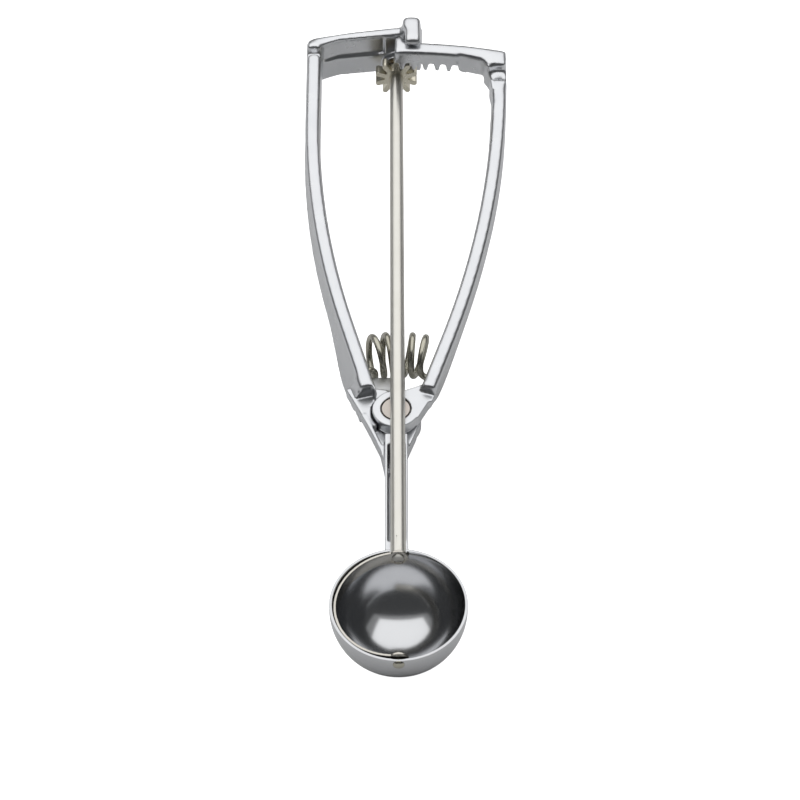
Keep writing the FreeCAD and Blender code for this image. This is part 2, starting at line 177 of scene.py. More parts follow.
@dataclass(frozen=True)
class MetalFinish:
    """A bare or plated metal, with the fine marks that its making leaves.

    Attributes:
        name: the finish in a maker's words.
        colour: sRGB hex of its reflection seen square on.
        tint: sRGB hex that the colour drifts to in patches.
        roughness: how much the polish blurs a reflection.
        unevenness: how much the roughness wanders.
        patch_mm: the size of the smudges in the polish.
        grain_mm: the size of the surface grain.
        grain_height_mm: how deep the grain is.
        stretch: how much longer the grain is than wide, along each axis.
        ripple_mm: the size of the slow waves left by hand polishing, or 0 for none.
        ripple_height_mm: how high these waves are.
    """

    name: str
    colour: str
    tint: str
    roughness: float
    unevenness: float
    patch_mm: float
    grain_mm: float
    grain_height_mm: float
    stretch: Point = (1.0, 1.0, 1.0)
    ripple_mm: float = 0.0
    ripple_height_mm: float = 0.0

    def build(self) -> bpy.types.Material:
        """Make the material.

        Returns:
            The material, with its nodes set.
        """
        material = bpy.data.materials.new(self.name)
        material.use_nodes = True
        tree = material.node_tree
        tree.nodes.clear()
        place = add_node(tree, "ShaderNodeTexCoord").outputs["Object"]
        patches = add_node(tree, "ShaderNodeTexNoise", {}, {
            "Vector": place, "Scale": 1.0 / (self.patch_mm * MM), "Detail": 4.0, "Roughness": 0.6})
        rough = add_node(tree, "ShaderNodeMapRange", {}, {
            "Value": patches.outputs["Fac"], "From Min": NOISE_LOW, "From Max": NOISE_HIGH,
            "To Min": self.roughness - self.unevenness, "To Max": self.roughness + self.unevenness})
        tone = add_node(tree, "ShaderNodeMix", {"data_type": "RGBA"}, {
            "Factor": patches.outputs["Fac"],
            MIX_FIRST: linear(self.colour), MIX_SECOND: linear(self.tint)})
        drawn = add_node(tree, "ShaderNodeMapping", {}, {
            "Vector": place, "Scale": Vector([1.0 / s for s in self.stretch])})
        grain = add_node(tree, "ShaderNodeTexNoise", {}, {
            "Vector": drawn.outputs["Vector"], "Scale": 1.0 / (self.grain_mm * MM), "Detail": 3.0})
        bump = add_node(tree, "ShaderNodeBump", {}, {
            "Height": grain.outputs["Fac"], "Distance": self.grain_height_mm * MM, "Strength": 1.0})
        if self.ripple_mm > 0:
            waves = add_node(tree, "ShaderNodeTexNoise", {}, {
                "Vector": place, "Scale": 1.0 / (self.ripple_mm * MM), "Detail": 1.0})
            bump = add_node(tree, "ShaderNodeBump", {}, {
                "Height": waves.outputs["Fac"], "Distance": self.ripple_height_mm * MM,
                "Strength": 1.0, "Normal": bump.outputs["Normal"]})
        shader = add_node(tree, "ShaderNodeBsdfPrincipled", {}, {
            "Base Color": tone.outputs[MIX_RESULT], "Metallic": 1.0,
            "Roughness": rough.outputs["Result"], "Normal": bump.outputs["Normal"]})
        add_node(tree, "ShaderNodeOutputMaterial", {}, {"Surface": shader.outputs["BSDF"]})
        return material


# Polished aluminium casting: bright and bluish white, slightly wavy where it was buffed by hand
POLISHED_CASTING = MetalFinish(
    name="polished_aluminium_casting", colour="DBDCDE", tint="D0D2D5",
    roughness=0.29, unevenness=0.025, patch_mm=9.0, grain_mm=0.5, grain_height_mm=0.0005,
    stretch=(1.0, 3.0, 1.0), ripple_mm=16.0, ripple_height_mm=0.01)
# Satin nickel plate over a drawn rod: warm grey, lines along its length that blur a reflection
SATIN_NICKEL = MetalFinish(
    name="satin_nickel_plate", colour="DBD9D3", tint="D4D2CA",
    roughness=0.33, unevenness=0.02, patch_mm=6.0, grain_mm=0.25, grain_height_mm=0.0004,
    stretch=(1.0, 40.0, 1.0))
# Bright nickel plate over a stamped steel star: yellowish, with soft pickled faces
PINION_NICKEL = MetalFinish(
    name="bright_nickel_on_stamping", colour="DEDACB", tint="CFC9B6",
    roughness=0.3, unevenness=0.05, patch_mm=2.0, grain_mm=0.3, grain_height_mm=0.004)
# Spun and buffed stainless sheet: a dark clean mirror, with a trace of grain up its wall
BUFFED_STAINLESS = MetalFinish(
    name="buffed_stainless_sheet", colour="CFD0D2", tint="C6C7C9",
    roughness=0.16, unevenness=0.02, patch_mm=12.0, grain_mm=0.2, grain_height_mm=0.0004,
    stretch=(1.0, 1.0, 5.0))
# Blank of thin rolled stainless strip: less bright than the bowl, its grain along the strip
STRIP_STAINLESS = MetalFinish(
    name="rolled_stainless_strip", colour="CBC8C1", tint="BFBBB2",
    roughness=0.2, unevenness=0.03, patch_mm=6.0, grain_mm=0.2, grain_height_mm=0.001,
    stretch=(1.0, 8.0, 1.0))
# Hard drawn spring wire, nickel washed: olive grey, dulled by a fine even grain
SPRING_WIRE = MetalFinish(
    name="nickel_washed_spring_wire", colour="BFBCAF", tint="ABA89A",
    roughness=0.24, unevenness=0.03, patch_mm=3.0, grain_mm=0.14, grain_height_mm=0.002)
# Turned steel pin, plated and brushed across its head: a soft warm grey
TURNED_PIN = MetalFinish(
    name="turned_steel_pin", colour="C4BDB6", tint="BBB3AC",
    roughness=0.32, unevenness=0.03, patch_mm=3.0, grain_mm=0.25, grain_height_mm=0.003,
    stretch=(6.0, 1.0, 1.0))
# Sintered bronze bush: oily and brown, with a porous skin that hardly reflects
SINTERED_BRONZE = MetalFinish(
    name="sintered_bronze", colour="8A7B63", tint="75674F",
    roughness=0.45, unevenness=0.06, patch_mm=1.5, grain_mm=0.3, grain_height_mm=0.01)

made_finishes: Dict[str, bpy.types.Material] = {}


def finish_of(finish: MetalFinish) -> bpy.types.Material:
    """Give a finish's material, made on its first use.

    Args:
        finish: the finish.

    Returns:
        Its material, the same one for every piece.
    """
    if finish.name not in made_finishes:
        made_finishes[finish.name] = finish.build()
    return made_finishes[finish.name]


def only(piece: bpy.types.Object) -> None:
    """Select one piece and nothing else, in object mode.

    Args:
        piece: the piece, which becomes the active one.
    """
    if bpy.context.object and bpy.context.object.mode != "OBJECT":
        bpy.ops.object.mode_set(mode="OBJECT")
    bpy.ops.object.select_all(action="DESELECT")
    piece.select_set(True)
    bpy.context.view_layer.objects.active = piece


def apply_place(piece: bpy.types.Object) -> None:
    """Put a piece's place into its mesh, so that its object sits at the origin."""
    only(piece)
    bpy.ops.object.transform_apply(location=True, rotation=True, scale=True)


def modify(piece: bpy.types.Object, kind: str, settings: dict) -> None:
    """Add one modifier and apply it.

    Args:
        piece: the piece that takes it.
        kind: the modifier's type name.
        settings: attributes of the modifier, by name.
    """
    only(piece)
    modifier = piece.modifiers.new(kind.lower(), kind)
    for name, value in settings.items():
        setattr(modifier, name, value)
    bpy.ops.object.modifier_apply(modifier=modifier.name)


def clean_up(piece: bpy.types.Object) -> None:
    """Merge doubled points and turn every face outwards.

    Args:
        piece: the piece.
    """
    only(piece)
    bpy.ops.object.mode_set(mode="EDIT")
    bpy.ops.mesh.select_all(action="SELECT")
    bpy.ops.mesh.remove_doubles(threshold=MERGE_MM * MM)
    bpy.ops.mesh.normals_make_consistent(inside=False)
    bpy.ops.object.mode_set(mode="OBJECT")


def smooth(piece: bpy.types.Object, degrees: float) -> None:
    """Shade a piece smooth, apart from edges sharper than an angle."""
    only(piece)
    bpy.ops.object.shade_smooth_by_angle(angle=math.radians(degrees))


def copy_of(node: str, name: str) -> bpy.types.Object:
    """Copy a node of the frame as a mesh of its own, with its triangles joined.

    Args:
        node: the node's name.
        name: the new piece's name.

    Returns:
        The new piece.
    """
    piece = bpy.data.objects.new(name, frame["nodes"][node].data.copy())
    bpy.context.scene.collection.objects.link(piece)
    piece.data.materials.clear()
    only(piece)
    if piece.data.has_custom_normals:
        bpy.ops.mesh.customdata_custom_splitnormals_clear()
    clean_up(piece)
    return piece


def reskin(piece: bpy.types.Object, grid_mm: float, rounding: int) -> None:
    """Rebuild a piece's skin on an even grid, laid back on its true faces, with softened edges.

    Args:
        piece: the piece.
        grid_mm: the grid's step.
        rounding: how often the skin is relaxed, which rounds its edges.
    """
    true_faces = bpy.data.objects.new("true_faces", piece.data.copy())
    bpy.context.scene.collection.objects.link(true_faces)
    modify(piece, "REMESH", {"mode": "VOXEL", "voxel_size": grid_mm * MM, "adaptivity": 0.0})
    modify(piece, "SHRINKWRAP", {"target": true_faces, "wrap_method": "NEAREST_SURFACEPOINT"})
    modify(piece, "SMOOTH", {"factor": 0.5, "iterations": rounding})
    bpy.data.objects.remove(true_faces)
    only(piece)
    bpy.ops.object.shade_smooth()


def spun(name: str, profile: Sequence[Corner], centre: Vector, axis: Vector,
         sides: int) -> bpy.types.Object:
    """Turn a profile round an axis, as on a lathe.

    Args:
        name: the new piece's name.
        profile: radius and height of each corner, in millimetres.
        centre: where height 0 is on the axis, in metres.
        axis: the direction of the axis, square to ACROSS, where the profile starts.
        sides: how many sides draw the round.

    Returns:
        The closed piece, with its faces outwards.
    """
    mesh = bpy.data.meshes.new(name)
    corners = [centre + axis * (height * MM) + ACROSS * (radius * MM) for radius, height in profile]
    mesh.from_pydata(corners, [(i, i + 1) for i in range(len(corners) - 1)], [])
    piece = bpy.data.objects.new(name, mesh)
    bpy.context.scene.collection.objects.link(piece)
    only(piece)
    bpy.ops.object.mode_set(mode="EDIT")
    bpy.ops.mesh.select_all(action="SELECT")
    bpy.ops.mesh.spin(steps=sides, angle=2 * math.pi, center=centre, axis=axis)
    bpy.ops.object.mode_set(mode="OBJECT")
    clean_up(piece)
    return piece


def carve(piece: bpy.types.Object, adds: bool = False) -> None:
    """Cut the newest primitive out of a piece, or join it on, and remove the primitive.

    Args:
        piece: the piece that is worked.
        adds: whether the primitive adds metal, rather than taking it away.
    """
    cutter = bpy.context.view_layer.objects.active
    apply_place(cutter)
    modify(piece, "BOOLEAN", {"operation": "UNION" if adds else "DIFFERENCE",
                              "object": cutter, "solver": "EXACT"})
    bpy.data.objects.remove(cutter)


@dataclass(frozen=True)
class Block:
    """A box laid onto a piece or cut out of it.

    Attributes:
        middle: its middle, in millimetres from the crossing of the axes.
        sides: its three sides, in millimetres.
        lean: its turns about X, Y and Z, in degrees.
        adds: whether it adds metal, rather than taking it away.
    """

    middle: Point
    sides: Point
    lean: Point = (0.0, 0.0, 0.0)
    adds: bool = False

    def work(self, piece: bpy.types.Object) -> None:
        """Join the box to a piece, or cut it out of the piece.

        Args:
            piece: the piece.
        """
        bpy.ops.object.select_all(action="DESELECT")
        bpy.ops.mesh.primitive_cube_add(size=1.0, location=at(*self.middle),
                                        rotation=[math.radians(turn) for turn in self.lean])
        bpy.context.view_layer.objects.active.scale = [side * MM for side in self.sides]
        carve(piece, self.adds)


def drill(piece: bpy.types.Object, middle: Vector, radius_mm: float, depth_mm: float,
          sides: int, tilt: float = 0.0) -> None:
    """Cut a round hole into a piece.

    Args:
        piece: the piece.
        middle: the middle of the hole, in metres.
        radius_mm: its radius.
        depth_mm: how deep it goes, from end to end.
        sides: how many sides draw its round.
        tilt: how far its axis is turned from UP about ACROSS, in radians.
    """
    bpy.ops.object.select_all(action="DESELECT")
    bpy.ops.mesh.primitive_cylinder_add(vertices=sides, radius=radius_mm * MM, depth=depth_mm * MM,
                                        location=middle, rotation=(tilt, 0.0, 0.0))
    carve(piece)


def coat(piece: bpy.types.Object, finish: MetalFinish, node: str) -> None:
    """Give a piece its finish and hide the node that it stands for.

    Args:
        piece: the finished mesh, already on its body.
        finish: its finish.
        node: the node that it replaces.
    """
    piece.data.materials.clear()
    piece.data.materials.append(finish_of(finish))
    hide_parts(node)
    log.info("%s: %d faces", piece.name, len(piece.data.polygons))


# The grips' front: how high it is at the pivot and how much it rises for each millimetre up
FRONT_LOW = 0.2
FRONT_RISE = 0.085


@dataclass(frozen=True)
class SoftZone:
    """A part of a casting whose skin is relaxed further.

    Attributes:
        low: the lowest corner of its box, in millimetres from the crossing.
        high: the highest corner.
        times: how often its skin is relaxed.
        reach: how far behind the grips' sloping front it goes, or 0 where the box alone counts.
        crown: whether only heights are relaxed, which crowns the front and keeps its width.
    """

    low: Point
    high: Point
    times: int
    reach: float = 0.0
    crown: bool = False

    def holds(self, place: Vector) -> bool:
        """Say whether a place is in the zone.

        Args:
            place: the place, in millimetres from the crossing.

        Returns:
            True where it is in the box and not too far behind the front.
        """
        inside = all(low < part < high for low, part, high in zip(self.low, place, self.high))
        return inside and (not self.reach or place.z > FRONT_LOW + FRONT_RISE * place.y - self.reach)

    def relax(self, piece: bpy.types.Object) -> None:
        """Relax this part of a piece.

        Args:
            piece: the piece.
        """
        group = piece.vertex_groups.new(name="soft")
        held = [point.index for point in piece.data.vertices if self.holds((point.co - CROSSING) / MM)]
        group.add(held, 1.0, "REPLACE")
        modify(piece, "SMOOTH", {"factor": 0.5, "iterations": self.times, "vertex_group": "soft",
                                 "use_x": not self.crown, "use_y": not self.crown})
        piece.vertex_groups.clear()


# What both handles get: crowned grips and top bars, and edges buffed round
GRIP_CROWN = SoftZone((-40.0, 7.0, -10.0), (40.0, 131.0, 20.0), times=150, reach=3.2, crown=True)
BAR_CROWN = SoftZone((-40.0, 131.0, 8.4), (40.0, 146.0, 20.0), times=70, crown=True)
FRONT_BUFF = SoftZone((-40.0, 4.0, -10.0), (40.0, 150.0, 20.0), times=75, reach=2.4)
# The pocket of the left top bar and the face of its stop hook
LEFT_POCKET = SoftZone((-26.5, 131.0, -4.5), (-5.0, 144.0, 10.3), times=30)
LEFT_HOOK = SoftZone((1.5, 132.0, 12.2), (8.2, 146.0, 17.0), times=18)
# The inner side of the right corner
RIGHT_CORNER = SoftZone((21.4, 112.0, -3.0), (30.5, 131.5, 11.6), times=40)


@dataclass(frozen=True)
class Handle:
    """One of the two handles, with the hand work that its casting gets.

    Attributes:
        node: the handle's node.
        name: the new piece's name.
        body: the body that carries it.
        work: the boxes laid on and cut off before its skin is rebuilt.
        zones: the parts that are softened further, in this order.
        clears: whether it is cut free round the pivot for the other handle's lug.
    """

    node: str
    name: str
    body: Body
    work: Tuple[Block, ...]
    zones: Tuple[SoftZone, ...]
    clears: bool = False


# Its work: the left lug's web, the fillet of its wall, the plate below the spring, the bead's end
LEFT_HANDLE = Handle(
    "left_handle", "left_handle_casting", Body.LEFT,
    work=(Block((-9.44, 2.1, -5.4), (3.6, 15.6, 2.8), (0.0, 0.0, 23.0), adds=True),
          Block((-11.2, 6.7, -3.75), (8.3, 6.0, 2.0), (0.0, -69.4, 19.6), adds=True),
          Block((-4.2, 11.4, -9.3), (8.4, 11.6, 3.0), (-13.0, 0.0, 0.0), adds=True),
          Block((-8.6, 2.6, -0.1), (5.4, 6.0, 7.8), (0.0, 0.0, 15.5))),
    zones=(GRIP_CROWN, BAR_CROWN, FRONT_BUFF, LEFT_POCKET, LEFT_HOOK),
    clears=True)
# Its work: two cuts for the curve of the corner, the corner's recess, the heel, the bead's end
RIGHT_HANDLE = Handle(
    "right_handle", "right_handle_casting", Body.RIGHT,
    work=(Block((20.96, 124.2, 6.0), (8.2, 12.0, 24.0), (0.0, 0.0, -18.4)),
          Block((25.2, 124.6, 6.0), (7.5, 6.0, 24.0), (0.0, 0.0, -63.0)),
          Block((31.6, 124.1, 14.3), (6.4, 4.6, 11.4)),
          Block((32.2, 118.6, 12.28), (5.9, 8.0, 4.0), (4.86, 0.0, 0.0)),
          Block((8.0, 3.2, 1.1), (6.0, 4.4, 7.2), (0.0, 0.0, -18.3))),
    zones=(GRIP_CROWN, BAR_CROWN, FRONT_BUFF, RIGHT_CORNER))


@dataclass
class Castings:
    """The two handles, cast in aluminium, fettled and buffed.

    Attributes:
        grid_mm: the grid that the casting's skin is rebuilt on.
        rounding: how often the skin is relaxed, which rounds its edges as buffing does.
        sweep_mm: the radius that the left lug leaves free for the right one.
        sweep_low_mm: how low that room starts.
        sweep_high_mm: how high it ends.
        sweep_sides: how many sides draw its round.
    """

    grid_mm: float = 0.34
    rounding: int = 5
    sweep_mm: float = 6.95
    sweep_low_mm: float = -6.68
    sweep_high_mm: float = 6.0
    sweep_sides: int = 96

    def cast(self, handle: Handle) -> None:
        """Rebuild one handle with the soft edges of a buffed casting.

        Args:
            handle: which one.
        """
        piece = copy_of(handle.node, handle.name)
        for block in handle.work:
            block.work(piece)
        if handle.clears:
            self.free_sweep(piece)
        reskin(piece, self.grid_mm, self.rounding)
        for zone in handle.zones:
            zone.relax(piece)
        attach(piece, handle.body.value)
        coat(piece, POLISHED_CASTING, handle.node)

    def free_sweep(self, piece: bpy.types.Object) -> None:
        """Cut the round room in front of the left lug, where the right lug turns.

        Args:
            piece: the left handle.
        """
        height = (self.sweep_low_mm + self.sweep_high_mm) / 2
        middle = Vector((PIVOT.x, PIVOT.y, CROSSING.z + height * MM))
        drill(piece, middle, self.sweep_mm, self.sweep_high_mm - self.sweep_low_mm, self.sweep_sides)

    def build(self) -> None:
        """Make both handles."""
        self.cast(LEFT_HANDLE)
        self.cast(RIGHT_HANDLE)


@dataclass(frozen=True)
class PlainPart:
    """A turned, stamped or riveted piece whose shape comes with the frame.

    Attributes:
        node: the node that it stands for.
        name: the new piece's name.
        finish: its finish.
        slot: the frame's slot for its finish; not used.
        grid_mm: the grid that its skin is rebuilt on, finer on a smaller piece.
        body: the body that carries it.
    """

    node: str
    name: str
    finish: MetalFinish
    slot: Slot
    grid_mm: float
    body: Body = Body.LEFT


PLAIN_PARTS = (
    PlainPart("pivot_pin", "pivot_pin_turned", TURNED_PIN, Slot.PIN, 0.1),
    PlainPart("pivot_washer", "pivot_washer_stamped", TURNED_PIN, Slot.PIN, 0.1),
    PlainPart("pivot_collar", "pivot_collar_riveted", TURNED_PIN, Slot.PIN, 0.1),
    PlainPart("drive_pinion", "drive_pinion_star", PINION_NICKEL, Slot.PINION, 0.09, Body.ROD),
    PlainPart("pinion_pin", "pinion_cross_pin", TURNED_PIN, Slot.PIN, 0.06, Body.ROD),
    PlainPart("rod_bush", "rod_bush_turned", SINTERED_BRONZE, Slot.BUSH, 0.1),
    PlainPart("bowl_rivets", "bowl_rivets_set", BUFFED_STAINLESS, Slot.STEEL, 0.08),
    PlainPart("scraper_blade", "scraper_blade_strip", STRIP_STAINLESS, Slot.STEEL, 0.12, Body.ROD),
)


@dataclass
class PlainParts:
    """All plain parts, with their edges broken by tumbling.

    Attributes:
        rounding: how often each skin is relaxed, which breaks its edges.
    """

    rounding: int = 3

    def build(self) -> None:
        """Take them over one by one."""
        for part in PLAIN_PARTS:
            piece = copy_of(part.node, part.name)
            reskin(piece, part.grid_mm, self.rounding)
            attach(piece, part.body.value)
            coat(piece, part.finish, part.node)


@dataclass
class TailRivet:
    """The rivet in the bowl's far wall, on which the scraper's tail end turns.

    Attributes:
        seat_mm: where its head meets the bowl, from the pivot.
        head_radius_mm: the radius of its domed head.
        head_height_mm: how far the dome stands out.
        head_step: the angle from one corner of the dome to the next, in degrees.
        shank_radius_mm: the radius of its shank.
        shank_start_mm: how far behind the seat the shank starts.
        shank_end_mm: how far behind the seat it ends.
        peen: radius and distance behind the seat of each corner of its peened end.
        sides: how many sides draw its circle.
        crease: the angle past which an edge stays sharp, in degrees.
    """

    seat_mm: float = -88.3
    head_radius_mm: float = 1.5
    head_height_mm: float = 0.7
    head_step: int = 6
    shank_radius_mm: float = 0.75
    shank_start_mm: float = 0.05
    shank_end_mm: float = 1.9
    peen: Tuple[Corner, ...] = ((1.1, 1.95), (1.05, 2.1), (0.7, 2.25), (0.0, 2.3))
    sides: int = 64
    crease: float = 40.0

    def profile(self) -> List[Corner]:
        """Give its section as radius and height, from the tip of the dome to the peened end.

        Returns:
            The corners, in millimetres.
        """
        angles = [math.radians(step) for step in range(0, 91, self.head_step)]
        dome = [(self.head_radius_mm * math.sin(t), -self.head_height_mm * math.cos(t)) for t in angles]
        shank = [(self.shank_radius_mm, self.shank_start_mm), (self.shank_radius_mm, self.shank_end_mm)]
        return dome + shank + list(self.peen)

    def build(self) -> None:
        """Turn the rivet round the rod's axis."""
        piece = spun("tail_rivet_domed", self.profile(), at(0.0, self.seat_mm, 0.0), ALONG, self.sides)
        smooth(piece, self.crease)
        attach(piece, Body.LEFT.value)
        coat(piece, SPRING_WIRE, "tail_rivet")


@dataclass
class Rod:
    """The drawn rod that turns the scraper, turned down to a tenon at its end.

    Attributes:
        radius_mm: its radius.
        low_mm: where its shoulder is, from the pivot.
        high_mm: where its top is.
        chamfer_mm: the chamfer at its top.
        shoulder_mm: the chamfer at its shoulder.
        tenon_radius_mm: the radius of the tenon through the scraper.
        tenon_low_mm: where the tenon ends.
        peen_start_mm: how far above that end it starts to widen.
        peen: radius and height above the tenon's end of each corner of its peened end.
        slit: the fine slit mark above the bowl.
        sides: how many sides draw its circle.
        crease: the angle past which an edge stays sharp, in degrees.
    """

    radius_mm: float = 2.05
    low_mm: float = -53.2
    high_mm: float = 146.6
    chamfer_mm: float = 0.3
    shoulder_mm: float = 0.1
    tenon_radius_mm: float = 1.2
    tenon_low_mm: float = -54.5
    peen_start_mm: float = 0.35
    peen: Tuple[Corner, ...] = ((1.6, 0.3), (1.504, 0.05), (0.96, -0.1), (0.0, -0.12))
    slit: Block = Block((-0.45, -49.6, 2.1), (0.2, 2.8, 0.7))
    sides: int = 96
    crease: float = 30.0

    def profile(self) -> List[Corner]:
        """Give its section as radius and height, from the top to the peened end.

        Returns:
            The corners, in millimetres.
        """
        top = [(0.0, self.high_mm), (self.radius_mm - self.chamfer_mm, self.high_mm),
               (self.radius_mm, self.high_mm - self.chamfer_mm)]
        shoulder = [(self.radius_mm, self.low_mm + self.shoulder_mm),
                    (self.radius_mm - self.shoulder_mm, self.low_mm)]
        tenon = [(self.tenon_radius_mm, self.low_mm),
                 (self.tenon_radius_mm, self.tenon_low_mm + self.peen_start_mm)]
        peen = [(radius, self.tenon_low_mm + height) for radius, height in self.peen]
        return top + shoulder + tenon + peen

    def build(self) -> None:
        """Turn the rod as one profile spun round its axis, and cut its slit mark."""
        piece = spun("drive_rod_drawn", self.profile(), at(0.0, 0.0, 0.0), ALONG, self.sides)
        self.slit.work(piece)
        smooth(piece, self.crease)
        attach(piece, Body.ROD.value)
        coat(piece, SATIN_NICKEL, "drive_rod")


@dataclass
class Bowl:
    """The spun bowl, with its bright rim, the rod's notch and the tail rivet's hole.

    Attributes:
        centre_mm: how far its centre is from the pivot along the rod.
        radius_mm: its outer radius.
        wall_mm: its wall.
        rim_mm: the height of the straight band above its centre.
        rim_round_mm: the radius of its broken rim edges.
        rim_middle: how far in from its corner the middle of such a round lies, as a share of it.
        notch_mm: half the width of the rod's notch, round below the rod and square above it.
        notch_height_mm: the height of the notch's square part.
        hole_mm: the radius of the tail rivet's hole.
        cut_mm: how deep the cutters of the notch and the hole are.
        cut_sides: how many sides draw the round ones.
        arc_steps: how many steps draw the quarter round of its profile.
        sides: how many sides draw its circle.
        crease: the angle past which an edge stays sharp, in degrees.
    """

    centre_mm: float = -70.3
    radius_mm: float = 18.0
    wall_mm: float = 0.8
    rim_mm: float = 1.6
    rim_round_mm: float = 0.25
    rim_middle: float = 0.3
    notch_mm: float = 2.25
    notch_height_mm: float = 4.0
    hole_mm: float = 0.75
    cut_mm: float = 6.0
    cut_sides: int = 64
    arc_steps: int = 48
    sides: int = 192
    crease: float = 32.0

    def profile(self) -> List[Corner]:
        """Give the wall's section as radius and height, from the inside pole to the outside pole.

        Returns:
            The corners, in millimetres.
        """
        outer = self.radius_mm
        inner = outer - self.wall_mm
        turns = [math.pi / 2 * i / self.arc_steps for i in range(self.arc_steps + 1)]
        inside = [(inner * math.sin(t), -inner * math.cos(t)) for t in turns]
        outside = [(outer * math.sin(t), -outer * math.cos(t)) for t in reversed(turns)]
        soft = self.rim_round_mm
        half = self.rim_middle * soft
        rim = [(inner, self.rim_mm - soft), (inner + half, self.rim_mm - half),
               (inner + soft, self.rim_mm), (outer - soft, self.rim_mm),
               (outer - half, self.rim_mm - half), (outer, self.rim_mm - soft)]
        return inside + rim + outside

    def build(self) -> None:
        """Spin the wall, then cut the notch and the hole."""
        piece = spun("bowl_spun", self.profile(), at(0.0, self.centre_mm, 0.0), UP, self.sides)
        near = self.centre_mm + self.radius_mm
        far = self.centre_mm - self.radius_mm
        lying = math.pi / 2
        drill(piece, at(0.0, near, 0.0), self.notch_mm, self.cut_mm, self.cut_sides, lying)
        Block((0.0, near, self.notch_height_mm / 2),
              (2 * self.notch_mm, self.cut_mm, self.notch_height_mm)).work(piece)
        drill(piece, at(0.0, far, 0.0), self.hole_mm, self.cut_mm, self.cut_sides, lying)
        smooth(piece, self.crease)
        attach(piece, Body.LEFT.value)
        coat(piece, BUFFED_STAINLESS, "bowl")


@dataclass
class HandleSpring:
    """The coil that pushes the handles apart, its turns fanned out from the pivot.

    Attributes:
        wire_mm: the wire's diameter.
        mean_radius_mm: the radius of the coil at the middle of its wire.
        centre_height_mm: how far above the pivot its centre is.
        centre_depth_mm: how high its centre is against the rod's axis, below 0 as it lies behind.
        turn_angle: the fan angle from one turn to the next, in degrees.
        turns: how many turns it has.
        steps: how many points of its line make one turn.
        left_leg_mm: how far the left end runs towards and into its handle.
        right_leg_mm: how far the right end does.
        lean_left: the lean of the left handle there, in degrees.
        lean_right: the lean of the right handle there, in degrees.
        bend_along: how far along the wire an end's bend begins, in wire diameters.
        bend_aside: how far to the side it begins, in wire diameters.
        nudge: the part of a turn over which the wire's direction is taken.
        wire_sides: how finely the wire's round is drawn.
        crease: the angle past which an edge stays sharp, in degrees.
    """

    wire_mm: float = 1.9
    mean_radius_mm: float = 5.8
    centre_height_mm: float = 26.0
    centre_depth_mm: float = -9.2
    turn_angle: float = 7.4
    turns: int = 5
    steps: int = 24
    left_leg_mm: float = 6.4
    right_leg_mm: float = 4.6
    lean_left: float = 15.5
    lean_right: float = 18.3
    bend_along: float = 0.6
    bend_aside: float = 0.25
    nudge: float = 0.001
    wire_sides: int = 8
    crease: float = 40.0

    def point(self, turn: float) -> Vector:
        """Give a place on the coil.

        Args:
            turn: the number of turns from the coil's middle, negative towards the left.

        Returns:
            The place, in millimetres from the crossing.
        """
        fan = math.radians(turn * self.turn_angle)
        spin = 2 * math.pi * turn
        reach = self.centre_height_mm + self.mean_radius_mm * math.cos(spin)
        return Vector((reach * math.sin(fan), reach * math.cos(fan),
                       self.centre_depth_mm + self.mean_radius_mm * math.sin(spin)))

    def leg(self, turn: float, lean: float, reach: float) -> List[Vector]:
        """Give the places of one end, bent square to its handle.

        Args:
            turn: the turn that the end leaves the coil at.
            lean: the lean of its handle, in degrees.
            reach: how far it runs, in millimetres.

        Returns:
            The places from the coil outwards, in millimetres from the crossing.
        """
        side = math.copysign(1.0, turn)
        square = Vector((side * math.cos(math.radians(lean)), -math.sin(math.radians(lean)), 0.0))
        start = self.point(turn)
        leave = (start - self.point(turn - side * self.nudge)).normalized()
        bend = self.wire_mm
        begin = start + leave * bend * self.bend_along + square * bend * self.bend_aside
        corner = start + square * bend + leave * bend
        return [begin, corner, corner + square * (reach - bend)]

    def places(self) -> List[Vector]:
        """Give the wire's line, from the tip of its left end to the tip of its right end.

        Returns:
            The places, in millimetres from the crossing.
        """
        half = self.turns / 2
        count = self.turns * self.steps
        left = self.leg(-half, self.lean_left, self.left_leg_mm)
        coil = [self.point(-half + self.turns * i / count) for i in range(count + 1)]
        right = self.leg(half, self.lean_right, self.right_leg_mm)
        return left[::-1] + coil + right

    def build(self) -> None:
        """Make the coil as a smooth tube that bends between the two handles."""
        places = self.places()
        curve = bpy.data.curves.new("handle_spring_path", "CURVE")
        curve.dimensions = "3D"
        spline = curve.splines.new("NURBS")
        spline.points.add(len(places) - 1)
        for point, place in zip(spline.points, places):
            point.co = (*at(*place), 1.0)
        spline.order_u = 4
        spline.use_endpoint_u = True
        spline.resolution_u = 3
        curve.bevel_depth = self.wire_mm / 2 * MM
        curve.bevel_resolution = self.wire_sides
        curve.use_fill_caps = True
        coil = bpy.data.objects.new("handle_spring_coil", curve)
        bpy.context.scene.collection.objects.link(coil)
        only(coil)
        bpy.ops.object.convert(target="MESH")
        piece = bpy.context.view_layer.objects.active
        clean_up(piece)
        smooth(piece, self.crease)
        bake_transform(piece)
        coat(piece, SPRING_WIRE, "handle_spring")


@dataclass(frozen=True)
class SoftBox:
    """A lamp with a large white front.

    Attributes:
        name: the lamp's name.
        place: where it hangs, in metres from the crossing.
        aim: what it points at, in metres from the crossing.
        width: its width in metres.
        height: its height in metres.
        power: its power in watts.
    """

    name: str
    place: Point
    aim: Point
    width: float
    height: float
    power: float

    def hang(self) -> None:
        """Add the lamp to the scene."""
        data = bpy.data.lights.new(self.name, "AREA")
        data.shape = "RECTANGLE"
        data.size = self.width
        data.size_y = self.height
        data.energy = self.power
        lamp = bpy.data.objects.new(self.name, data)
        bpy.context.scene.collection.objects.link(lamp)
        lamp.location = CROSSING + Vector(self.place)
        lamp.rotation_euler = (Vector(self.aim) - Vector(self.place)).to_track_quat("-Z", "Y").to_euler()


